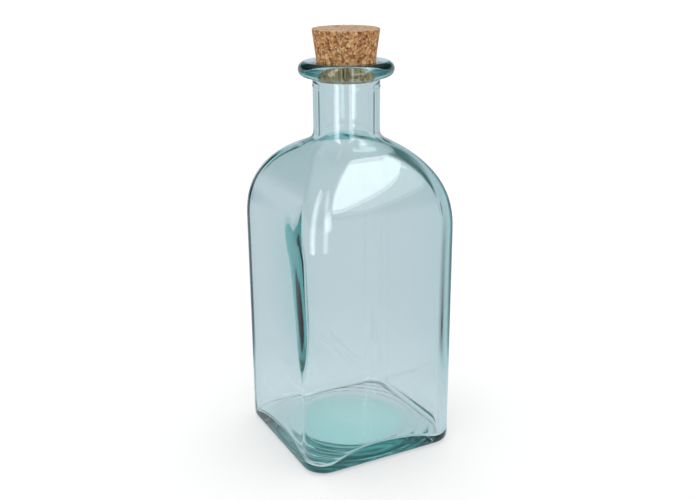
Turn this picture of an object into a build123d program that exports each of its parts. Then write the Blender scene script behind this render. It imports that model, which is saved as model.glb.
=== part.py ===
"""Square glass bottle with a tapered cork stopper.

Millimetres, +Z up. The origin is the middle of the base, on the surface the bottle stands on.
The flat sides face along X and Y.
"""

from build123d import *
import os
from math import cos, radians, sin

# ---- driving dimensions ----

# square body
side = 90.0             # outside width across the flats
corner_r = 12.8         # upright edges
heel_r = 2.8            # edge between the sides and the base
wall = 3.1              # glass thickness in the sides and the shoulder
inner_corner_r = 10.8   # upright edges of the cavity

# shoulder: a dome that stays square in plan until close to the neck
shoulder_z = 124.0      # where the straight sides end
shoulder_top_z = 170.9  # where the dome meets the neck
dome_rise_power = 2.45  # larger keeps the sides upright for longer
dome_plan_power = 1.5   # smaller brings the top in flatter
rounding_power = 8.7    # how late the plan turns from square to round
fit_angle = 22.5        # direction, from a side's normal, in which the dome profile is measured
dome_sections = 10
last_section_angle = 84.0

# neck and lip
neck_r = 17.7
neck_root_r = 4.7       # reach of the hollow curve between the dome and the neck
neck_root_drop = 1.3    # how far below the dome's top that curve starts, inside the glass
neck_root_slope = 0.3   # rise over run there
bore_r = 14.1
bore_root_r = 3.0       # rounded edge where the cavity opens into the neck
lip_r = 25.2
lip_half = 3.9          # half the lip's thickness
lip_z = 208.4           # height of the lip's widest ring
lip_under_drop = 1.3    # how far the lip's underside falls before it meets the neck
mouth_edge_r = 1.2

# thick base
floor_centre_z = 12.3   # cavity floor, in the middle
floor_flat_r = 41.0     # where the floor starts to fall away to the corners
floor_flat_z = 11.2
floor_corner_r = 55.2
floor_corner_z = 2.0
cavity_bottom_z = 2.5   # lowest glass in the cavity's corners
punt_r = 30.0           # hollow pushed up into the underside
punt_h = 5.0

# cork stopper
cork_top_r = 17.7
cork_top_z = 228.8
cork_lip_r = 15.45      # the cork's radius level with the lip's top
cork_bottom_z = 202.4
cork_edge_r = 0.5
cork_gap = 0.10         # clearance between the seated cork and the mouth

selection_gap = 0.01    # how near an edge lies to a height it is picked by

# for the printed summary
cubic_mm_per_litre = 1e6
glass_grams_per_cubic_mm = 2.5e-3

lip_top_z = lip_z + lip_half
cork_taper = (cork_top_r - cork_lip_r) / (cork_top_z - lip_top_z)
floor_sag = floor_centre_z - floor_flat_z
punt_sphere_r = (punt_r ** 2 + punt_h ** 2) / (2 * punt_h)
inner_side = side - 2 * wall
cavity_top_z = shoulder_top_z - wall
mouth_seat_r = cork_lip_r + cork_gap


def cork_radius(z):
    """Radius of the cork's cone at height z."""
    return cork_lip_r + cork_taper * (z - lip_top_z)


def crown_height(radius):
    """Height of the cavity floor's crowned middle at one distance from the axis."""
    return floor_centre_z - floor_sag * (radius / floor_flat_r) ** 2


def dome_plan(angle, width, radius, start_z, top_z, top_r):
    """Height, half width and corner radius of one plan section of a dome.

    angle runs from 0 at the straight sides to 90 degrees at the neck. The reach of the plan in
    the fit_angle direction follows a superellipse, and the corner radius grows until it is round.
    """
    rise = sin(radians(angle)) ** (2 / dome_rise_power)
    plan = cos(radians(angle)) ** (2 / dome_plan_power)
    reach_of_flats = cos(radians(fit_angle)) + sin(radians(fit_angle))
    reach_of_corner = reach_of_flats - 1
    half = width / 2
    start_reach = reach_of_flats * half - reach_of_corner * radius
    reach = top_r + (start_reach - top_r) * plan
    roundness = radius / half + (1 - radius / half) * rise ** rounding_power
    section_half = reach / (reach_of_flats - reach_of_corner * roundness)
    return start_z + (top_z - start_z) * rise, section_half, roundness * section_half


def dome_angles():
    """Section angles, from the straight sides to just short of the neck."""
    return [last_section_angle * step / dome_sections for step in range(dome_sections + 1)]


# ---- cavity: the hollow that is taken out of the glass ----
with BuildPart() as cavity:
    with BuildSketch(Plane.XY.offset(cavity_bottom_z)):
        RectangleRounded(inner_side, inner_side, inner_corner_r)
    extrude(amount=shoulder_z - cavity_bottom_z)

    for angle in dome_angles():
        z, half, radius = dome_plan(
            angle, inner_side, inner_corner_r, shoulder_z, cavity_top_z, bore_r)
        with BuildSketch(Plane.XY.offset(z)):
            RectangleRounded(2 * half, 2 * half, radius)
    loft()

    # bore and conical seat for the cork, opening with a rounded edge at the mouth
    with BuildSketch(Plane.XZ):
        with BuildLine():
            root = Line((0, cavity_top_z - wall), (bore_r + bore_root_r, cavity_top_z - wall))
            rise = Line(root @ 1, (bore_r + bore_root_r, cavity_top_z))
            turn = RadiusArc(rise @ 1, (bore_r, cavity_top_z + bore_root_r), bore_root_r)
            bore = Line(turn @ 1, (cork_radius(cork_bottom_z) + cork_gap, cork_bottom_z))
            seat = Line(bore @ 1, (mouth_seat_r, lip_top_z))
            Polyline(seat @ 1, (0, lip_top_z), root @ 0)
        make_face()
    revolve(axis=Axis.Z)

    # the floor stands proud in the middle of each side and falls away into the four corners
    with BuildSketch(Plane.XZ):
        with BuildLine():
            crown = ThreePointArc(
                (0, crown_height(0)),
                (floor_flat_r / 2, crown_height(floor_flat_r / 2)),
                (floor_flat_r, crown_height(floor_flat_r)))
            Polyline(
                crown @ 1, (floor_corner_r, floor_corner_z), (floor_corner_r, 0), (0, 0), crown @ 0)
        make_face()
    revolve(axis=Axis.Z, mode=Mode.SUBTRACT)

# ---- glass bottle ----
with BuildPart() as glass_bottle:
    with BuildSketch():
        RectangleRounded(side, side, corner_r)
    extrude(amount=shoulder_z)
    fillet(glass_bottle.edges().group_by(Axis.Z)[0], heel_r)

    for angle in dome_angles():
        z, half, radius = dome_plan(angle, side, corner_r, shoulder_z, shoulder_top_z, neck_r)
        with BuildSketch(Plane.XY.offset(z)):
            RectangleRounded(2 * half, 2 * half, radius)
    loft()

    # neck with its hollow root, and the rounded lip
    with BuildSketch(Plane.XZ):
        with BuildLine():
            foot = Polyline(
                (0, shoulder_top_z - wall),
                (neck_r + neck_root_r, shoulder_top_z - wall),
                (neck_r + neck_root_r, shoulder_top_z - neck_root_drop))
            root = Spline(
                foot @ 1, (neck_r, shoulder_top_z + neck_root_r),
                tangents=((-1, neck_root_slope), (0, 1)))
            shaft = Line(root @ 1, (neck_r, lip_z - lip_half - lip_under_drop))
            under = Line(shaft @ 1, (lip_r - lip_half, lip_z - lip_half))
            rim = ThreePointArc(under @ 1, (lip_r, lip_z), (lip_r - lip_half, lip_top_z))
            Polyline(rim @ 1, (0, lip_top_z), foot @ 0)
        make_face()
    revolve(axis=Axis.Z)

    # hollow pushed up into the underside
    with BuildSketch(Plane.XZ):
        with BuildLine():
            punt = RadiusArc((0, punt_h), (punt_r, 0), punt_sphere_r)
            Polyline(punt @ 1, (0, 0), punt @ 0)
        make_face()
    revolve(axis=Axis.Z, mode=Mode.SUBTRACT)

    add(cavity.part, mode=Mode.SUBTRACT)
    mouth = glass_bottle.edges().filter_by(GeomType.CIRCLE).filter_by_position(
        Axis.Z, lip_top_z - selection_gap, lip_top_z + selection_gap).sort_by(SortBy.RADIUS)[0]
    fillet(mouth, mouth_edge_r)

glass_bottle.part.label = "glass_bottle"

# ---- cork stopper ----
with BuildPart() as cork_stopper:
    with BuildSketch(Plane.XZ):
        Polygon(
            (0, cork_bottom_z), (cork_radius(cork_bottom_z), cork_bottom_z),
            (cork_top_r, cork_top_z), (0, cork_top_z), align=None)
    revolve(axis=Axis.Z)
    fillet(cork_stopper.edges().filter_by(GeomType.CIRCLE), cork_edge_r)

cork_stopper.part.label = "cork_stopper"

os.makedirs("parts", exist_ok=True)
export_step(glass_bottle.part, "parts/glass_bottle.step")
export_step(cork_stopper.part, "parts/cork_stopper.step")

litres = cavity.part.volume / cubic_mm_per_litre
grams = glass_bottle.part.volume * glass_grams_per_cubic_mm
print(f"brimful volume {litres:.3f} litres, glass {grams:.0f} g")
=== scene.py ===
"""Looks, light and camera for the square aqua glass bottle and its cork stopper.

Metres, +Z up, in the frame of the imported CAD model. Lengths written in millimetres are
multiplied by MM where they are used.
"""

import math

import bpy
import numpy as np
from mathutils import Matrix, Vector
from mathutils.kdtree import KDTree


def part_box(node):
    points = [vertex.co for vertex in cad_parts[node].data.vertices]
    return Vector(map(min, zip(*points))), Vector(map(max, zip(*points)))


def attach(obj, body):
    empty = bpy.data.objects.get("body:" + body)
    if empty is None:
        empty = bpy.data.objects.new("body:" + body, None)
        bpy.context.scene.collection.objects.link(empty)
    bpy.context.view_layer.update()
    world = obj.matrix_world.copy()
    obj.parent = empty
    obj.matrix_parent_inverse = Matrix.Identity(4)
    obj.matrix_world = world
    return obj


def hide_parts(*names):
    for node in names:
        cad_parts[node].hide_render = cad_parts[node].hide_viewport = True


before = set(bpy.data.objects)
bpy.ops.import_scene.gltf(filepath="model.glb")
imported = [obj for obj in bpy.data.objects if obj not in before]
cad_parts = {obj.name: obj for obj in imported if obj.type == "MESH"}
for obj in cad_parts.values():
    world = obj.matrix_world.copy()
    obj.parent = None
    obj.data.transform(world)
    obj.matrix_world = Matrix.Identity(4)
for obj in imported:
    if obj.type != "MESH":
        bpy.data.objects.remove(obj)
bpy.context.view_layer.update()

MM = 0.001
glass_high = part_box("glass_bottle")[1]
cork_low, cork_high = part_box("cork_stopper")

# ---- the bottle's driving dimensions, mm ----
HALF = glass_high.x / MM            # half the width across the flats
LIP_TOP = glass_high.z / MM
CORNER_R = 12.8                     # upright edges, outside
HEEL_R = 2.8
WALL = 3.1
INNER_CORNER_R = 10.8               # upright edges, inside

SHOULDER_Z = 124.0
SHOULDER_TOP = 170.9
RISE_POWER = 2.45
PLAN_POWER = 1.5
ROUNDING_POWER = 8.7
FIT_ANGLE = math.radians(22.5)

NECK_R = 17.7
NECK_ROOT = 6.5                     # reach of the hollow curve at the neck's root
NECK_ROOT_RISE = 5.2
BORE_R = 14.1
BORE_ROOT = 8.5                     # soft inner turn from the bore into the shoulder
BORE_ROOT_RISE = 5.2
BEND_REACH = 1.15
LIP_R = 25.2
LIP_HALF = 3.9
LIP_Z = LIP_TOP - LIP_HALF
LIP_UNDER_DROP = 1.3
LIP_UNDER_POWER = 0.6               # smaller brings the underside level sooner
MOUTH_EDGE = 1.2
NECK_SEAM = 0.22                    # faint uneven ring that the mould left below the lip
NECK_SEAM_DROP = 3.4
NECK_SEAM_WIDTH = 0.55
NECK_SEAM_WANDER = 0.5
MOUTH_SEAT_R = 15.55                # the cork's seat, level with the lip's top
SEAT_GAP = 0.1                      # the seat's end stands this far out from the bore

PUNT_R = 30.0                       # hollow pushed up into the underside
PUNT_H = 2.4
PUNT_EDGE = 2.5
FLOOR_CENTRE = 8.6                  # cavity floor
FLOOR_SAG = 1.1                     # how much lower the floor is at FLOOR_FLAT_R
FLOOR_TILT = 3.3                    # the glass settled thicker along the -X and -Y sides
FLOOR_FLAT_R = 41.0                 # where the fall towards the corners is measured from
FLOOR_FLAT = 11.2                   # and the height of the fall's line there
FLOOR_SLOPE = 0.65                  # fall of the floor towards the corners
FLOOR_LOWEST = 2.5
FLOOR_BLEND = 1.2                   # softness of the floor's changes of slope
FLOOR_FILLET = 3.0                  # rounding between floor and wall

FLOOR_RIPPLE = 0.05                 # folds in the cavity floor, along the walls
FLOOR_RIPPLE_PITCH = 4.5
FLOOR_RIPPLE_R = 30.0               # none nearer the middle than this

UNDER_RIDGE = 0.35                  # low rings pressed into the underside round the hollow
UNDER_RIDGE_PITCH = 5.5

STIPPLE_H = 0.7                     # raised grip ticks under the base
STIPPLE_PITCH = 2.0
STIPPLE_BAND = 2.4
STIPPLE_INSET = 4.6
TICK_SHARPNESS = 0.9
TICK_ROUNDING = 0.6

# uneven wall: steps on the inside of the -X wall, near the front corner
RIDGES = (
    # height of the step, half width, then (z, y) of its line from the bottom up
    (2.2, 8.0, ((46, -34), (80, -33), (100, -31.8), (120, -31), (148, -30))),
    (2.0, 7.0, ((56, -30), (86, -28), (102, -25.5), (114, -23), (124, -20), (143, -15))),
)
RIDGE_FADE = 30.0                   # height over which a step comes and goes
RIDGE_REACH = -HALF / 2             # the steps are on the inside of the wall beyond this x
RIDGE_TAIL = 22.0                   # distance over which the thicker glass thins out again
THICK_RIGHT = 1.8                   # extra glass in the +X wall, next to the -Y side
THICK_BACK = 1.1                    # and in the +Y wall, next to the -X side
THICK_Z = 84.0                      # height where those are thickest
THICK_BELOW = 46.0                  # how far they run down from there
THICK_ABOVE = 74.0                  # and up, over the shoulder
THICK_TURN = math.radians(38)       # how far they run round the bottle
THICK_POWER = 4                     # larger ends them more abruptly, up and down
THICK_FACING = (0.5, 0.2)           # they come in where a point starts to face the wall
THICK_WALLS = (                     # extra glass, axis it moves along, middle, wall's direction
    (THICK_RIGHT, 0, -math.pi / 4, 0),
    (THICK_BACK, 1, 3 * math.pi / 4, math.pi / 2),
)
WALL_FOOT = 20.0                    # the wall is uneven down to here

# ---- the cork ----
CORK_TOP = cork_high.z / MM
CORK_LOW = cork_low.z / MM
CORK_TOP_R = 17.7
CORK_LIP_R = 15.45                  # its radius level with the lip's top
CORK_EDGE = 0.5
CORK_MIDDLE = (0.01, 0.02)          # share of the radius where the rings start, top and bottom
CORK_EDGE_TURN = (0.3, 1.3)         # radians of the rounded edge that get rings
CORK_LOW_EDGE = (0.6, 0.1)          # shares of the edge: in and up, at the bottom

CORK_SEED = 7
SIDE_GRANULES = 1900
END_GRANULES = 620
HOLE_EVERY = 5
HOLE_SIZE = (0.15, 0.65)
HOLE_REACH = 1.3
HOLE_DARK = 1.6
CRACK_WIDTH = 0.45
CRACK_SHARE = 0.62                  # share of the seams that stay closed
CRACK_SHARPNESS = 6
CRACK_MIX = (7, 97)                 # multiplier and modulus that choose which seams open
SEAM_WIDTH = 0.25

GRANULE_DEPTH = 0.05                # relief pushed into the skin, mm
SEAM_DEPTH = 0.06
CRACK_DEPTH = 0.28
HOLE_DEPTH = 0.35
END_RELIEF = 0.6                    # share of the relief that the smoother top keeps
END_KIND = 0.75                     # a face this flat or flatter belongs to an end

CORK_RAMP = (
    (0.0, (0.27, 0.108, 0.036, 1)),
    (0.3, (0.47, 0.215, 0.078, 1)),
    (0.7, (0.62, 0.325, 0.132, 1)),
    (1.0, (0.78, 0.50, 0.26, 1)),
)
CORK_TOP_COLOUR = (0.52, 0.385, 0.262, 1)
CORK_SEAM = (0.25, 0.11, 0.045, 1)
# colour of the open cracks and holes: the cork's own dark brown there, with painted shade in these
# recesses
CORK_PIT_AND_SHADE = (0.075, 0.032, 0.014, 1)
CORK_ROUGHNESS = 0.85
CORK_SPECULAR = 0.2
CORK_GRAIN_SCALE = 1500.0
CORK_GRAIN_DETAIL = 4.0
CORK_GRAIN_SHARE = 1.1
CORK_GRAIN_SHIFT = 0.55
TOP_BLEND = 0.72
SEAM_BLEND = 0.35
PIT_BLEND = 0.9

# ---- the glass ----
GLASS_IOR = 1.52
GLASS_COLOUR = (0.30, 0.73, 0.722, 1)
GLASS_DENSITY = 60.0                # per metre

# ---- camera ----
CAMERA_AZIMUTH = math.radians(27.45)
CAMERA_ELEVATION = math.radians(18.91)
CAMERA_PAN = math.radians(0.16)
CAMERA_ROLL = math.radians(-0.36)
CAMERA_DISTANCE = 0.4944
CAMERA_HEIGHT = 0.2780
CAMERA_LENS = 48.57
CAMERA_SENSOR = 36.0
LIGHT_BOUNCES = 200                 # the light runs a long way inside the glass

# ---- light, linear colours, metres ----
FILL = 1.2                          # on the floor and the cork
BACKDROP = 1.1
STUDIO_RAMP = (                     # sine of the elevation, colour the glass sees there
    (0.13, (0.67, 0.69, 0.745, 1)),
    (0.27, (0.045, 0.135, 0.13, 1)),
    (0.50, (0.09, 0.155, 0.16, 1)),
    (0.75, (0.40, 0.42, 0.44, 1)),
)
FLOOR_PAPER = (0.93, 0.93, 0.93, 1)
FLOOR_GLOW = (1.05, 1.05, 1.05, 1)
FLOOR_SEEN_GLOW = 0.36
THROUGH_PAPER = (0.7, 0.7, 0.7, 1)
THROUGH_SEEN_GLOW = 0.90
# painted light: the floor's glow seen in the glass, aqua under the hollow base for light tinted by
# the glass, brighter near the bottle
FLOOR_REACH = 0.20                  # the floor's glow in the glass varies out to here
PAINTED_THROUGH_LIGHT = (                    # share of FLOOR_REACH, colour: aqua under the hollow base
    (0.135, (0.70, 0.90, 0.91, 1)),
    (0.165, (0.80, 0.82, 0.875, 1)),
    (0.45, (0.72, 0.745, 0.80, 1)),
    (1.0, (0.64, 0.675, 0.73, 1)),
)

FLOOR_HALF = 6.0
FLOOR_GAP = 0.05                    # the stage's floor is this far below the ticks, mm

CARD = (0.14, 0.16, 0.17, 1)        # soft-edged grey cards, seen only in the glass
CARD_SOLID = 0.2                    # share of a card that is fully grey
CARD_AZIMUTHS = (-126, 126)         # behind the bottle, from the camera's side
CARD_DISTANCE = 0.45
CARD_HALF_WIDTH = 0.06
CARD_HALF_HEIGHT = 0.055
CARD_HEIGHT = 0.107

LAMP_HEIGHT = 0.14                  # height of the point that the shoulder's lamps aim at
LAMPS = (
    # name, azimuth, elevation, distance, size, radiance, offset, turn, height
    ("shoulder_box", 60, 38, 0.45, (0.30, 0.24), 3.6, (-0.30, -0.20), 0, LAMP_HEIGHT),
    ("shoulder_bar", 60, 38, 0.45, (0.50, 0.065), 3.6, (0.035, 0.085), 56, LAMP_HEIGHT),
    ("shoulder_glow", 60, 38, 0.46, (0.56, 0.13), 1.3, (0.040, 0.075), 56, LAMP_HEIGHT),
    ("left_strip", -34, 0, 0.42, (0.12, 1.05), 4.6, (0, 0), 0, 0.535),
    ("right_strip", 18, 0, 0.42, (0.13, 0.85), 2.4, (0, 0), 0, 0.435),
)

# ---- mesh density ----
FLAT_STEPS = 44
CORNER_STEPS = 22
FINE = 5                            # the underside has this many times the points

PUNT_RINGS, PUNT_EDGE_RINGS, UNDER_RINGS, TICK_RINGS = 18, 5, 20, 8
HEEL_RINGS, SIDE_RINGS, DOME_RINGS, ROOT_RINGS = 8, 40, 44, 14
NECK_RINGS, LIP_UNDER_RINGS, RIM_RINGS = 70, 6, 20
LIP_TOP_RINGS, MOUTH_RINGS, SEAT_RINGS, BORE_RINGS = 4, 8, 8, 16
CAVITY_RINGS, FOOT_RINGS, FILLET_RINGS, FLOOR_RINGS = 60, 6, 9, 26
CORK_TURNS = 380
CORK_TOP_RINGS, CORK_EDGE_RINGS, CORK_SIDE_RINGS, CORK_LOW_RINGS = 56, 3, 92, 30


def perimeter_angles():
    """Directions of points spread round the body: even on the flats, closer on the corners."""
    reach = HALF - CORNER_R
    points = []
    for step in range(FLAT_STEPS):
        points.append((HALF, -reach + 2 * reach * step / FLAT_STEPS))
    for step in range(CORNER_STEPS):
        turn = math.pi / 2 * step / CORNER_STEPS
        points.append((reach + CORNER_R * math.cos(turn), reach + CORNER_R * math.sin(turn)))
    side = [math.atan2(y, x) for x, y in points]
    return np.array([angle + quarter * math.pi / 2 for quarter in range(4) for angle in side])


THETA = perimeter_angles()
THETA_NEXT = np.append(THETA[1:], THETA[0] + 2 * math.pi)
THETA_FINE = np.concatenate([
    a + (b - a) * np.arange(FINE) / FINE for a, b in zip(THETA, THETA_NEXT)])


def plan_radius(theta, half, corner):
    """Distance from the axis to a square with rounded corners, in each direction."""
    folded = np.abs((theta + math.pi / 4) % (math.pi / 2) - math.pi / 4)
    cos, sin = np.cos(folded), np.sin(folded)
    centre = half - corner
    under_root = np.maximum(corner ** 2 - centre ** 2 * (cos - sin) ** 2, 0)
    on_corner = centre * (cos + sin) + np.sqrt(under_root)
    return np.where(half * sin <= centre * cos, half / cos, on_corner)


def ring(theta, radius, z):
    """Points of one closed ring; radius and z may vary round it."""
    return np.column_stack([radius * np.cos(theta), radius * np.sin(theta), z + 0 * theta])


def square_ring(half, corner, z, theta=THETA):
    return ring(theta, plan_radius(theta, half, corner), z)


def round_ring(radius, z, theta=THETA):
    return ring(theta, radius + 0 * theta, z)


def smooth_min(a, b, softness):
    """The lower of two heights, with the change from one to the other rounded."""
    return -softness * np.logaddexp(-a / softness, -b / softness)


def steps(count):
    """count values from just above 0 up to 1."""
    return [(k + 1) / count for k in range(count)]


def dome_section(angle, half, corner, top_z, top_r):
    """Height, half width and corner radius of the shoulder's plan at one angle of its profile."""
    rise = math.sin(angle) ** (2 / RISE_POWER)
    plan = max(math.cos(angle), 0.0) ** (2 / PLAN_POWER)
    flats = math.cos(FIT_ANGLE) + math.sin(FIT_ANGLE)
    start = flats * half - (flats - 1) * corner
    reach = top_r + (start - top_r) * plan
    roundness = corner / half + (1 - corner / half) * rise ** ROUNDING_POWER
    section = reach / (flats - (flats - 1) * roundness)
    return SHOULDER_Z + (top_z - SHOULDER_Z) * rise, section, roundness * section


def bend(start, toward, end, leaving, count):
    """Rings on a smooth curve from one ring to another, with the directions given at both ends."""
    chord = np.linalg.norm(end - start, axis=1, keepdims=True)
    toward = toward / np.linalg.norm(toward, axis=1, keepdims=True) * chord * BEND_REACH
    leaving = leaving / np.linalg.norm(leaving, axis=1, keepdims=True) * chord * BEND_REACH
    rings = []
    for t in steps(count):
        rings.append(
            start * (1 - 3 * t ** 2 + 2 * t ** 3) + toward * (t - 2 * t ** 2 + t ** 3)
            + end * (3 * t ** 2 - 2 * t ** 3) + leaving * (t ** 3 - t ** 2))
    return rings


# ---- glass: rings from the middle of the underside, up the outside and down the inside ----
def punt_rings():
    """The hollow pushed up into the middle of the underside, out to its soft edge."""
    rings = []
    for t in steps(PUNT_RINGS):
        radius = (PUNT_R - PUNT_EDGE) * t
        z = STIPPLE_H + PUNT_H * (1 - (radius / PUNT_R) ** 2)
        rings.append(round_ring(radius, z, THETA_FINE))
    edge_z = STIPPLE_H + PUNT_H * (1 - ((PUNT_R - PUNT_EDGE) / PUNT_R) ** 2)
    for t in steps(PUNT_EDGE_RINGS):
        radius = PUNT_R - PUNT_EDGE + 2 * PUNT_EDGE * t
        z = STIPPLE_H + (edge_z - STIPPLE_H) * (1 - t) ** 2
        rings.append(round_ring(radius, z, THETA_FINE))
    return rings


def low_ring_rings(band_half, band_corner):
    """The low rings round the hollow, out to the band of ticks."""
    inner = plan_radius(THETA_FINE, band_half - STIPPLE_BAND / 2, band_corner)
    start = PUNT_R + PUNT_EDGE
    rings = []
    for t in steps(UNDER_RINGS):
        radius = start + (inner - start) * t
        wave = 0.5 - 0.5 * np.cos(2 * math.pi * (radius - start) / UNDER_RIDGE_PITCH)
        z = STIPPLE_H + UNDER_RIDGE * wave * math.sin(math.pi * t) ** 0.5
        rings.append(ring(THETA_FINE, radius, z))
    return rings


def tick_comb(band_half, band_corner):
    """How far each direction is into a grip tick, from 0 to 1, evenly along the band."""
    path = ring(THETA_FINE, plan_radius(THETA_FINE, band_half, band_corner), 0)[:, :2]
    along = np.concatenate([[0], np.cumsum(np.hypot(*np.diff(path, axis=0).T))])
    whole = along[-1] + np.hypot(*(path[0] - path[-1]))
    ticks = round(whole / STIPPLE_PITCH)
    return np.clip(0.5 + TICK_SHARPNESS * np.cos(2 * math.pi * ticks * along / whole), 0, 1)


def underside_rings():
    """The pushed-up hollow and the bearing surface with its grip ticks, on the fine angles."""
    band_half = HALF - STIPPLE_INSET
    band_corner = CORNER_R - STIPPLE_INSET
    rings = punt_rings() + low_ring_rings(band_half, band_corner)
    comb = tick_comb(band_half, band_corner)
    for t in steps(TICK_RINGS):
        rise = math.sin(math.pi * t) ** TICK_ROUNDING if t < 1 else 0.0
        across = (t - 0.5) * STIPPLE_BAND
        radius = plan_radius(THETA_FINE, band_half + across, band_corner + across)
        rings.append(ring(THETA_FINE, radius, STIPPLE_H * (1 - comb * rise)))
    rings.append(square_ring(HALF - HEEL_R, CORNER_R - HEEL_R, STIPPLE_H, THETA_FINE))
    return rings


def body_rings():
    """Heel, straight sides and shoulder."""
    rings = []
    for t in steps(HEEL_RINGS):
        turn = t * math.pi / 2
        inset = HEEL_R * (1 - math.sin(turn))
        z = STIPPLE_H + HEEL_R * (1 - math.cos(turn))
        rings.append(square_ring(HALF - inset, CORNER_R - inset, z))
    foot = STIPPLE_H + HEEL_R
    for t in steps(SIDE_RINGS):
        rings.append(square_ring(HALF, CORNER_R, foot + (SHOULDER_Z - foot) * t))
    for t in steps(DOME_RINGS):
        z, half, corner = dome_section(t * math.pi / 2, HALF, CORNER_R, SHOULDER_TOP, NECK_R)
        if half < NECK_R + NECK_ROOT:
            break
        rings.append(square_ring(half, corner, z))
    return rings


def neck_rings(neck_top):
    """The straight neck, with its faint seam ring."""
    root_top = SHOULDER_TOP + NECK_ROOT_RISE
    seam_z = neck_top - NECK_SEAM_DROP + NECK_SEAM_WANDER * np.sin(THETA)
    rings = []
    for t in steps(NECK_RINGS):
        z = root_top + (neck_top - root_top) * t
        bump = np.exp(-((z - seam_z) / NECK_SEAM_WIDTH) ** 2)
        rings.append(ring(THETA, NECK_R + NECK_SEAM * bump, z))
    return rings


def lip_rings(neck_top):
    """The lip's underside and its rounded rim."""
    rings = []
    rim_r = LIP_R - LIP_HALF
    for t in steps(LIP_UNDER_RINGS):
        z = neck_top + LIP_UNDER_DROP * t ** LIP_UNDER_POWER
        rings.append(round_ring(NECK_R + (rim_r - NECK_R) * t, z))
    for t in steps(RIM_RINGS):
        turn = -math.pi / 2 + math.pi * t
        z = LIP_Z + LIP_HALF * math.sin(turn)
        rings.append(round_ring(rim_r + LIP_HALF * math.cos(turn), z))
    return rings


def outer_rings():
    """The outside, from the heel up to the lip's top."""
    rings = body_rings()
    upward = ring(THETA, 0, 1)
    root_end = round_ring(NECK_R, SHOULDER_TOP + NECK_ROOT_RISE)
    rings += bend(rings[-1], rings[-1] - rings[-2], root_end, upward, ROOT_RINGS)
    neck_top = LIP_Z - LIP_HALF - LIP_UNDER_DROP
    return rings + neck_rings(neck_top) + lip_rings(neck_top)


def mouth_rings():
    """The lip's top, the rounded mouth, the cork's seat and the bore down to the cavity."""
    rings = []
    rim_r = LIP_R - LIP_HALF
    edge_r = MOUTH_SEAT_R + MOUTH_EDGE
    for t in steps(LIP_TOP_RINGS):
        rings.append(round_ring(rim_r + (edge_r - rim_r) * t, LIP_TOP))
    for t in steps(MOUTH_RINGS):
        turn = t * math.pi / 2
        rings.append(round_ring(
            edge_r - MOUTH_EDGE * math.sin(turn), LIP_TOP - MOUTH_EDGE * (1 - math.cos(turn))))
    for t in steps(SEAT_RINGS):
        z = LIP_TOP - MOUTH_EDGE + (CORK_LOW - LIP_TOP + MOUTH_EDGE) * t
        rings.append(round_ring(MOUTH_SEAT_R - (MOUTH_SEAT_R - BORE_R - SEAT_GAP) * t, z))
    root_top = SHOULDER_TOP + BORE_ROOT_RISE
    for t in steps(BORE_RINGS):
        rings.append(round_ring(BORE_R, CORK_LOW + (root_top - CORK_LOW) * t))
    return rings


def cavity_dome_rings(half_in):
    """The soft turn out of the bore and the inside of the shoulder, from the top down."""
    top_in = SHOULDER_TOP - WALL
    dome = []
    for t in steps(DOME_RINGS):
        z, half, corner = dome_section(t * math.pi / 2, half_in, INNER_CORNER_R, top_in, BORE_R)
        if half < BORE_R + BORE_ROOT:
            break
        dome.append(square_ring(half, corner, z))
    downward = ring(THETA, 0, -1)
    bore_end = round_ring(BORE_R, SHOULDER_TOP + BORE_ROOT_RISE)
    root = bend(bore_end, downward, dome[-1], dome[-2] - dome[-1], ROOT_RINGS)
    return root[:-1] + dome[::-1]


def cavity_floor_rings(wall):
    """The foot of the wall, the fillet and the floor of the cavity."""
    rings = []
    fillet_r = wall - FLOOR_FILLET
    fillet_top = floor_height(THETA, wall) + FLOOR_FILLET
    for t in steps(FOOT_RINGS):
        rings.append(ring(THETA, wall, WALL_FOOT + (fillet_top - WALL_FOOT) * t))
    for t in steps(FILLET_RINGS):
        turn = t * math.pi / 2
        radius = fillet_r + FLOOR_FILLET * math.cos(turn)
        z = floor_height(THETA, radius) + FLOOR_FILLET * (1 - math.sin(turn))
        rings.append(ring(THETA, radius, z))
    for t in steps(FLOOR_RINGS)[:-1]:
        radius = fillet_r * (1 - t)
        rings.append(ring(THETA, radius, floor_height(THETA, radius)))
    return rings


def inner_rings():
    """Bore root, dome, walls, floor fillet and floor of the cavity, from the top down."""
    half_in = HALF - WALL
    rings = cavity_dome_rings(half_in)
    wall = plan_radius(THETA, half_in, INNER_CORNER_R)
    for t in steps(CAVITY_RINGS):
        rings.append(ring(THETA, wall, SHOULDER_Z + (WALL_FOOT - SHOULDER_Z) * t))
    return [uneven(points) for points in rings] + cavity_floor_rings(wall)


def floor_height(theta, radius):
    """The cavity's floor: nearly flat in the middle, falling away into the four corners."""
    x, y = radius * np.cos(theta), radius * np.sin(theta)
    crown = FLOOR_CENTRE - FLOOR_SAG * (radius / FLOOR_FLAT_R) ** 2 - FLOOR_TILT * (x + y) / HALF
    fall = FLOOR_FLAT - FLOOR_SLOPE * (radius - FLOOR_FLAT_R)
    sloped = smooth_min(crown, fall, FLOOR_BLEND)
    height = -smooth_min(-sloped, -FLOOR_LOWEST + 0 * radius, FLOOR_BLEND)
    nearest_wall = np.maximum(np.abs(x), np.abs(y))
    shown = np.clip((radius - FLOOR_RIPPLE_R) / FLOOR_RIPPLE_PITCH, 0, 1)
    return height + FLOOR_RIPPLE * shown * np.sin(2 * math.pi * nearest_wall / FLOOR_RIPPLE_PITCH)


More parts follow.
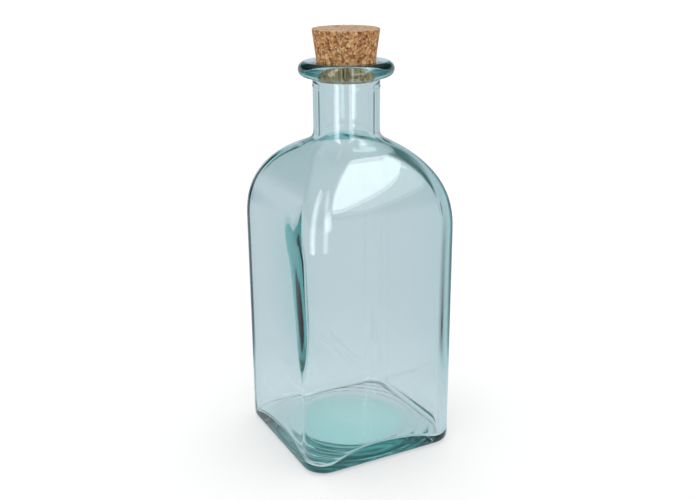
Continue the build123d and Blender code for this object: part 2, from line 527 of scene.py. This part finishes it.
def ridge_offset(points):
    """How far the inside of the wall is pushed in at each point, from the ridges in RIDGES."""
    x, y, z = points.T
    total = np.zeros(len(points))
    for height, half_width, line in RIDGES:
        line_z, line_y = np.array(line, float).T
        across = (y - np.interp(z, line_z, line_y)) / half_width
        rise = np.clip((across + 1) / 2, 0, 1)
        rise = rise * rise * (3 - 2 * rise)
        tail = np.exp(-(np.maximum(across - 1, 0) * half_width / RIDGE_TAIL) ** 2)
        come = np.clip((z - line_z[0]) / RIDGE_FADE, 0, 1)
        go = np.clip((line_z[-1] - z) / RIDGE_FADE, 0, 1)
        total += height * rise * tail * come * go
    return np.where(x < RIDGE_REACH, total, 0)


def uneven(points):
    """Move a ring of the inside of the wall in where the glass is thicker."""
    x, y, z = points.T
    turn, radius = np.arctan2(y, x), np.hypot(x, y)
    reach = np.where(z > THICK_Z, THICK_ABOVE, THICK_BELOW)
    level = np.exp(-((z - THICK_Z) / reach) ** THICK_POWER)
    level *= np.clip((radius - BORE_R - BORE_ROOT) / BORE_R, 0, 1)
    first, span = THICK_FACING
    moved = points.copy()
    moved[:, 0] += ridge_offset(points)
    for push, axis, middle, wall_turn in THICK_WALLS:
        near = np.exp(-((turn - middle) / THICK_TURN) ** 2)
        facing = np.clip((np.cos(turn - wall_turn) - first) / span, 0, 1)
        moved[:, axis] -= push * level * near * facing
    return moved


# ---- meshes from rings ----
def stitch(faces, start_a, count_a, start_b, count_b):
    """Faces between two rings, where either may be a single point or FINE times the other."""
    if count_a == count_b:
        for k in range(count_a):
            n = (k + 1) % count_a
            faces.append((start_a + k, start_a + n, start_b + n, start_b + k))
    elif count_a == 1:
        for k in range(count_b):
            faces.append((start_a, start_b + (k + 1) % count_b, start_b + k))
    elif count_b == 1:
        for k in range(count_a):
            faces.append((start_a + k, start_a + (k + 1) % count_a, start_b))
    else:
        for k in range(count_b):
            n = (k + 1) % count_b
            for j in range(FINE):
                first, second = k * FINE + j, (k * FINE + j + 1) % count_a
                faces.append((start_a + first, start_a + second, start_b + k))
            faces.append((start_a + ((k + 1) * FINE) % count_a, start_b + n, start_b + k))


def add_object(name, points, faces, material):
    """A new object whose points are in metres."""
    mesh = bpy.data.meshes.new(name)
    mesh.from_pydata(points, [], faces)
    mesh.materials.append(material)
    made = bpy.data.objects.new(name, mesh)
    bpy.context.scene.collection.objects.link(made)
    return made


def make_glass():
    """The bottle: one closed skin through all the rings in order."""
    rings = [np.array([[0.0, 0.0, STIPPLE_H + PUNT_H]])]
    rings += underside_rings() + outer_rings() + mouth_rings() + inner_rings()
    rings.append(np.array([[0.0, 0.0, floor_height(0.0, 0.0)]]))
    faces, start = [], 0
    for a, b in zip(rings, rings[1:]):
        stitch(faces, start, len(a), start + len(a), len(b))
        start += len(a)
    points = (np.vstack(rings) * MM).tolist()
    glass = add_object("bottle_glass", points, faces, glass_material())
    glass.data.shade_smooth()
    return glass


# ---- materials ----
def node(tree, kind, **values):
    """A new node, with its sockets or settings given by name."""
    made = tree.nodes.new(kind)
    for key, value in values.items():
        if key in made.inputs:
            made.inputs[key].default_value = value
        else:
            setattr(made, key, value)
    return made


def link(tree, source, target):
    tree.links.new(source, target)


def scaled(tree, value, factor):
    made = node(tree, "ShaderNodeMath", operation="MULTIPLY")
    made.inputs[1].default_value = factor
    link(tree, value, made.inputs[0])
    return made.outputs[0]


def colour_ramp(tree, value, stops):
    made = node(tree, "ShaderNodeValToRGB")
    elements = made.color_ramp.elements
    while len(elements) < len(stops):
        elements.new(0.5)
    for element, (position, colour) in zip(elements, stops):
        element.position = position
        element.color = colour
    link(tree, value, made.inputs[0])
    return made.outputs[0]


def mix(tree, first, second, factor):
    """Blend from first towards second, either of which may be a fixed colour."""
    made = node(tree, "ShaderNodeMix", data_type="RGBA")
    for socket, value in ((made.inputs[6], first), (made.inputs[7], second)):
        if isinstance(value, tuple):
            socket.default_value = value
        else:
            link(tree, value, socket)
    link(tree, factor, made.inputs["Factor"])
    return made.outputs[2]


def glass_material():
    """Clear glass whose colour comes from the light lost on the way through it."""
    material = bpy.data.materials.new("aqua_glass")
    material.use_nodes = True
    tree = material.node_tree
    shader = tree.nodes["Principled BSDF"]
    shader.inputs["Base Color"].default_value = (1, 1, 1, 1)
    shader.inputs["Roughness"].default_value = 0.0
    shader.inputs["IOR"].default_value = GLASS_IOR
    shader.inputs["Transmission Weight"].default_value = 1.0
    volume = tree.nodes.new("ShaderNodeVolumeAbsorption")
    volume.inputs["Color"].default_value = GLASS_COLOUR
    volume.inputs["Density"].default_value = GLASS_DENSITY
    link(tree, volume.outputs["Volume"], tree.nodes["Material Output"].inputs["Volume"])
    return material


# ---- camera, stage and light ----
def make_camera():
    """A camera in front of the corner between the -X and -Y sides, looking down at the bottle."""
    heading = CAMERA_AZIMUTH + CAMERA_PAN
    flat = math.cos(CAMERA_ELEVATION)
    forward = Vector((
        math.sin(heading) * flat, math.cos(heading) * flat, -math.sin(CAMERA_ELEVATION)))
    level = Vector((math.cos(heading), -math.sin(heading), 0))
    up = level.cross(forward)
    right = math.cos(CAMERA_ROLL) * level + math.sin(CAMERA_ROLL) * up
    top = right.cross(forward)
    data = bpy.data.cameras.new("camera")
    data.lens = CAMERA_LENS
    data.sensor_width = CAMERA_SENSOR
    camera = bpy.data.objects.new("camera", data)
    turn = Matrix((right, top, -forward)).transposed().to_4x4()
    place = Vector((
        -CAMERA_DISTANCE * math.sin(CAMERA_AZIMUTH), -CAMERA_DISTANCE * math.cos(CAMERA_AZIMUTH),
        CAMERA_HEIGHT))
    camera.matrix_world = Matrix.Translation(place) @ turn
    bpy.context.scene.collection.objects.link(camera)
    bpy.context.scene.camera = camera


def floor_material():
    """White floor: a lit surface to the eye; to the glass, painted light: a glow, aqua under the
    hollow base, that falls off with distance.
    """
    material = bpy.data.materials.new("floor_white")
    material.use_nodes = True
    tree = material.node_tree
    tree.nodes.remove(tree.nodes["Principled BSDF"])
    paper = node(tree, "ShaderNodeBsdfDiffuse", Color=FLOOR_PAPER)
    glow = node(tree, "ShaderNodeEmission", Color=FLOOR_GLOW, Strength=1.0)
    seen = node(tree, "ShaderNodeMixShader", Fac=FLOOR_SEEN_GLOW)
    dull_paper = node(tree, "ShaderNodeBsdfDiffuse", Color=THROUGH_PAPER)
    # painted light: the glow the glass sees on the floor, aqua under the base and dimmer further
    # out
    through_glow = node(tree, "ShaderNodeEmission", Strength=1.0)
    place = node(tree, "ShaderNodeTexCoord")
    reach = node(tree, "ShaderNodeVectorMath", operation="LENGTH")
    share = scaled(tree, reach.outputs["Value"], 1 / FLOOR_REACH)
    link(tree, place.outputs["Object"], reach.inputs[0])
    link(tree, colour_ramp(tree, share, PAINTED_THROUGH_LIGHT), through_glow.inputs["Color"])
    through = node(tree, "ShaderNodeMixShader", Fac=THROUGH_SEEN_GLOW)
    pick = node(tree, "ShaderNodeMixShader")
    path = node(tree, "ShaderNodeLightPath")
    link(tree, paper.outputs[0], seen.inputs[1])
    link(tree, glow.outputs[0], seen.inputs[2])
    link(tree, dull_paper.outputs[0], through.inputs[1])
    link(tree, through_glow.outputs[0], through.inputs[2])
    link(tree, path.outputs["Is Camera Ray"], pick.inputs["Fac"])
    link(tree, through.outputs[0], pick.inputs[1])
    link(tree, seen.outputs[0], pick.inputs[2])
    link(tree, pick.outputs[0], tree.nodes["Material Output"].inputs["Surface"])
    return material


def square(half):
    """Corners of a flat square of the given half width."""
    return [(-half, -half, 0), (half, -half, 0), (half, half, 0), (-half, half, 0)]


def make_stage():
    floor = add_object("floor", square(FLOOR_HALF), [(0, 1, 2, 3)], floor_material())
    floor.location.z = -FLOOR_GAP * MM


def card_material():
    """Grey in the middle, fading to nothing at the rim."""
    material = bpy.data.materials.new("card_grey")
    material.use_nodes = True
    tree = material.node_tree
    tree.nodes.remove(tree.nodes["Principled BSDF"])
    place = node(tree, "ShaderNodeTexCoord")
    reach = node(tree, "ShaderNodeVectorMath", operation="LENGTH")
    fade = node(tree, "ShaderNodeMapRange", interpolation_type="SMOOTHSTEP")
    fade.inputs["From Min"].default_value = 1.0
    fade.inputs["From Max"].default_value = CARD_SOLID
    clear = node(tree, "ShaderNodeBsdfTransparent")
    grey = node(tree, "ShaderNodeEmission", Color=CARD, Strength=1.0)
    blend = node(tree, "ShaderNodeMixShader")
    link(tree, place.outputs["Object"], reach.inputs[0])
    link(tree, reach.outputs["Value"], fade.inputs["Value"])
    link(tree, fade.outputs["Result"], blend.inputs["Fac"])
    link(tree, clear.outputs[0], blend.inputs[1])
    link(tree, grey.outputs[0], blend.inputs[2])
    link(tree, blend.outputs[0], tree.nodes["Material Output"].inputs["Surface"])
    return material


def make_cards():
    """Two soft-edged grey cards behind the bottle, which draw the bore's edges in the neck."""
    material = card_material()
    for number, azimuth in enumerate(CARD_AZIMUTHS):
        around = math.radians(azimuth) - CAMERA_AZIMUTH
        toward = Vector((math.sin(around), -math.cos(around), 0))
        across = Vector((math.cos(around), math.sin(around), 0))
        card = add_object(f"card_{number}", square(1), [(0, 1, 2, 3)], material)
        turn = Matrix((across, Vector((0, 0, 1)), toward)).transposed().to_4x4()
        size = Matrix.Diagonal((CARD_HALF_WIDTH, CARD_HALF_HEIGHT, 1, 1))
        centre = toward * CARD_DISTANCE + Vector((0, 0, CARD_HEIGHT))
        card.matrix_world = Matrix.Translation(centre) @ turn @ size
        card.visible_camera = False
        card.visible_diffuse = False
        card.visible_shadow = False


def make_world():
    """A white backdrop, even light on dull surfaces, and in the glass a studio dark above."""
    world = bpy.data.worlds.new("studio")
    world.use_nodes = True
    tree = world.node_tree
    studio = tree.nodes["Background"]
    place = node(tree, "ShaderNodeTexCoord")
    split = node(tree, "ShaderNodeSeparateXYZ")
    link(tree, place.outputs["Generated"], split.inputs[0])
    link(tree, colour_ramp(tree, split.outputs["Z"], STUDIO_RAMP), studio.inputs["Color"])
    fill = node(tree, "ShaderNodeBackground", Color=(1, 1, 1, 1), Strength=FILL)
    backdrop = node(tree, "ShaderNodeBackground", Color=(1, 1, 1, 1), Strength=BACKDROP)
    path = node(tree, "ShaderNodeLightPath")
    dull = node(tree, "ShaderNodeMixShader")
    pick = node(tree, "ShaderNodeMixShader")
    link(tree, path.outputs["Is Diffuse Ray"], dull.inputs["Fac"])
    link(tree, studio.outputs[0], dull.inputs[1])
    link(tree, fill.outputs[0], dull.inputs[2])
    link(tree, path.outputs["Is Camera Ray"], pick.inputs["Fac"])
    link(tree, dull.outputs[0], pick.inputs[1])
    link(tree, backdrop.outputs[0], pick.inputs[2])
    link(tree, pick.outputs[0], tree.nodes["World Output"].inputs["Surface"])
    bpy.context.scene.world = world


def softbox(name, azimuth, elevation, distance, size, radiance, offset, turn, height):
    """A rectangular light seen only in the glass, turned azimuth degrees right of the camera."""
    around, up_angle = math.radians(azimuth) - CAMERA_AZIMUTH, math.radians(elevation)
    flat = math.cos(up_angle)
    toward = Vector((math.sin(around) * flat, -math.cos(around) * flat, math.sin(up_angle)))
    right = Vector((math.cos(around), math.sin(around), 0))
    up = toward.cross(right)
    aim = Vector((0, 0, height))
    centre = aim + toward * distance + right * offset[0] + up * offset[1]
    data = bpy.data.lights.new(name, "AREA")
    data.shape = "RECTANGLE"
    data.size, data.size_y = size
    data.energy = radiance * math.pi * size[0] * size[1]
    lamp = bpy.data.objects.new(name, data)
    spin = math.radians(turn)
    x_axis = math.cos(spin) * right + math.sin(spin) * up
    y_axis = toward.cross(x_axis)
    axes = Matrix((x_axis, y_axis, toward)).transposed().to_4x4()
    lamp.matrix_world = Matrix.Translation(centre) @ axes
    lamp.visible_camera = False
    lamp.visible_diffuse = False
    bpy.context.scene.collection.objects.link(lamp)


def make_lights():
    for lamp in LAMPS:
        softbox(*lamp)


# ---- cork ----
def cork_radius(z):
    """Radius of the cork's cone at one height."""
    return CORK_LIP_R + (z - LIP_TOP) * (CORK_TOP_R - CORK_LIP_R) / (CORK_TOP - LIP_TOP)


def cork_profile():
    """Radius, height and kind of face (1 top, 0 side, -1 bottom) down the cork's outline."""
    low_r, edge, tall = cork_radius(CORK_LOW), CORK_EDGE, CORK_TOP - CORK_LOW
    outline = [
        (CORK_TOP_R * t, CORK_TOP, 1)
        for t in np.linspace(CORK_MIDDLE[0], 1 - edge / CORK_TOP_R, CORK_TOP_RINGS)]
    outline += [
        (CORK_TOP_R - edge * (1 - math.sin(a)), CORK_TOP - edge * (1 - math.cos(a)), 0.5)
        for a in np.linspace(*CORK_EDGE_TURN, CORK_EDGE_RINGS)]
    outline += [
        (CORK_TOP_R + (low_r - CORK_TOP_R) * t, CORK_TOP + (CORK_LOW - CORK_TOP) * t, 0)
        for t in np.linspace(edge / tall, 1 - edge / tall, CORK_SIDE_RINGS)]
    inward, upward = CORK_LOW_EDGE
    outline += [(low_r - edge * inward, CORK_LOW + edge * upward, 0)]
    outline += [
        (low_r * t, CORK_LOW, -1)
        for t in np.linspace(1 - 2 * edge / low_r, CORK_MIDDLE[1], CORK_LOW_RINGS)]
    return outline


def cork_seeds(rng):
    """Middles of the granules over the cork's skin."""
    turn = rng.uniform(0, 2 * math.pi, SIDE_GRANULES)
    z = rng.uniform(CORK_LOW, CORK_TOP, SIDE_GRANULES)
    seeds = [ring(turn, cork_radius(z), z)]
    for height, most in ((CORK_TOP, CORK_TOP_R), (CORK_LOW, CORK_LIP_R)):
        turn = rng.uniform(0, 2 * math.pi, END_GRANULES)
        radius = most * np.sqrt(rng.uniform(0, 1, END_GRANULES))
        seeds.append(ring(turn, radius, height))
    return np.vstack(seeds)


def nearest(seeds, points, count):
    """Distance and number of the nearest seeds to each point."""
    tree = KDTree(len(seeds))
    for k, seed in enumerate(seeds):
        tree.insert(seed, k)
    tree.balance()
    found = [tree.find_n(point, count) for point in points]
    return (np.array([[hit[2] for hit in hits] for hits in found]),
            np.array([[hit[1] for hit in hits] for hits in found]))


def cork_texture(points):
    """Tint, pit and seam from 0 to 1, and depth in mm, at each point of the skin."""
    rng = np.random.default_rng(CORK_SEED)
    seeds = cork_seeds(rng)
    gap, number = nearest(seeds, points, 2)
    tint = rng.uniform(0, 1, len(seeds))[number[:, 0]]
    lift = rng.uniform(0, 1, len(seeds))[number[:, 0]]
    between = gap[:, 1] - gap[:, 0]
    factor, modulus = CRACK_MIX
    pair = (number[:, 0] * number[:, 1] + number.sum(axis=1) * factor) % modulus / modulus
    opened = np.clip((pair - CRACK_SHARE) * CRACK_SHARPNESS, 0, 1)
    crack = np.clip(1 - between / CRACK_WIDTH, 0, 1) * opened
    hole = cork_holes(rng, points)
    # pit: open cracks and holes, pushed in and also darkened with painted shade
    pit = np.maximum(crack, np.clip(hole * HOLE_DARK, 0, 1))
    seam = np.clip(1 - between / SEAM_WIDTH, 0, 1)
    depth = GRANULE_DEPTH * lift + SEAM_DEPTH * seam + CRACK_DEPTH * crack + HOLE_DEPTH * hole
    return tint, pit, seam, depth


def cork_holes(rng, points):
    """How far each point is into one of the scattered holes, from 0 to 1."""
    seeds = cork_seeds(rng)[::HOLE_EVERY]
    gap, number = nearest(seeds, points, 1)
    size = rng.uniform(*HOLE_SIZE, len(seeds))[number[:, 0]]
    return np.clip(HOLE_REACH - gap[:, 0] / size, 0, 1)


def pushed_in(points, kind, depth):
    """The skin's points moved in by depth: towards the axis on the side, along Z on the ends."""
    turn = np.arctan2(points[:, 1], points[:, 0])
    outward = ring(turn, 1, 0)
    along = np.column_stack([0 * depth, 0 * depth, np.sign(kind)])
    direction = np.where(np.abs(kind)[:, None] > END_KIND, along, outward)
    return points - direction * (depth * np.where(kind > END_KIND, END_RELIEF, 1))[:, None]


def cork_faces(count):
    """Faces between the rings and out to the two end points, which follow the rings' points."""
    faces = []
    for start in range(0, count - CORK_TURNS, CORK_TURNS):
        stitch(faces, start, CORK_TURNS, start + CORK_TURNS, CORK_TURNS)
    faces = [face[::-1] for face in faces]
    last = count - CORK_TURNS
    faces += [(count, n, (n + 1) % CORK_TURNS) for n in range(CORK_TURNS)]
    faces += [(count + 1, last + (n + 1) % CORK_TURNS, last + n) for n in range(CORK_TURNS)]
    return faces


def make_cork():
    """The cork: one closed skin with granules, cracks and holes in it."""
    turn = np.linspace(0, 2 * math.pi, CORK_TURNS, endpoint=False)
    outline = cork_profile()
    points = np.vstack([ring(turn, radius, z) for radius, z, _ in outline])
    kind = np.repeat([face for _, _, face in outline], CORK_TURNS)
    tint, pit, seam, depth = cork_texture(points)
    points = pushed_in(points, kind, depth)
    faces = cork_faces(len(points))
    points = np.vstack([points, [[0, 0, CORK_TOP], [0, 0, CORK_LOW]]])
    cork = add_object("cork", (points * MM).tolist(), faces, cork_material())
    cork.data.shade_smooth()
    top = np.clip(kind, 0, 1)
    for name, values in (("tint", tint), ("pit", pit), ("seam", seam), ("top", top)):
        values = np.append(values, values[[0, -1]]).astype(np.float32)
        cork.data.attributes.new(name, "FLOAT", "POINT").data.foreach_set("value", values)
    return cork


def cork_material():
    """Granules of varied tan, with dark brown cracks and pits, their darkness partly painted shade
    in these recesses; smoother and paler on the top.
    """
    material = bpy.data.materials.new("agglomerated_cork")
    material.use_nodes = True
    tree = material.node_tree
    shader = tree.nodes["Principled BSDF"]
    shader.inputs["Roughness"].default_value = CORK_ROUGHNESS
    shader.inputs["Specular IOR Level"].default_value = CORK_SPECULAR
    tint, pit, seam, top = (
        node(tree, "ShaderNodeAttribute", attribute_name=name)
        for name in ("tint", "pit", "seam", "top"))
    place = node(tree, "ShaderNodeTexCoord")
    grain = node(
        tree, "ShaderNodeTexNoise", Scale=CORK_GRAIN_SCALE, Detail=CORK_GRAIN_DETAIL)
    link(tree, place.outputs["Object"], grain.inputs["Vector"])
    vary = node(tree, "ShaderNodeMath", operation="MULTIPLY_ADD")
    vary.inputs[1].default_value = CORK_GRAIN_SHARE
    link(tree, grain.outputs[0], vary.inputs[0])
    shift = node(tree, "ShaderNodeMath", operation="SUBTRACT")
    shift.inputs[1].default_value = CORK_GRAIN_SHIFT
    link(tree, tint.outputs["Fac"], shift.inputs[0])
    link(tree, shift.outputs[0], vary.inputs[2])
    grained = colour_ramp(tree, vary.outputs[0], CORK_RAMP)
    pale = mix(tree, grained, CORK_TOP_COLOUR, scaled(tree, top.outputs["Fac"], TOP_BLEND))
    seamed = mix(tree, pale, CORK_SEAM, scaled(tree, seam.outputs["Fac"], SEAM_BLEND))
    # painted shade: the open cracks and holes turned nearly black, over the cork's own dark brown
    pitted = mix(tree, seamed, CORK_PIT_AND_SHADE, scaled(tree, pit.outputs["Fac"], PIT_BLEND))
    link(tree, pitted, shader.inputs["Base Color"])
    return material


make_camera()
make_stage()
make_cards()
make_world()
make_lights()
glass = make_glass()
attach(glass, "bottle")
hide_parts("glass_bottle")
cork = make_cork()
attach(cork, "stopper")
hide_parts("cork_stopper")

scene = bpy.context.scene
scene.view_settings.view_transform = "Standard"
scene.cycles.max_bounces = LIGHT_BOUNCES
scene.cycles.transmission_bounces = LIGHT_BOUNCES
scene.cycles.glossy_bounces = LIGHT_BOUNCES
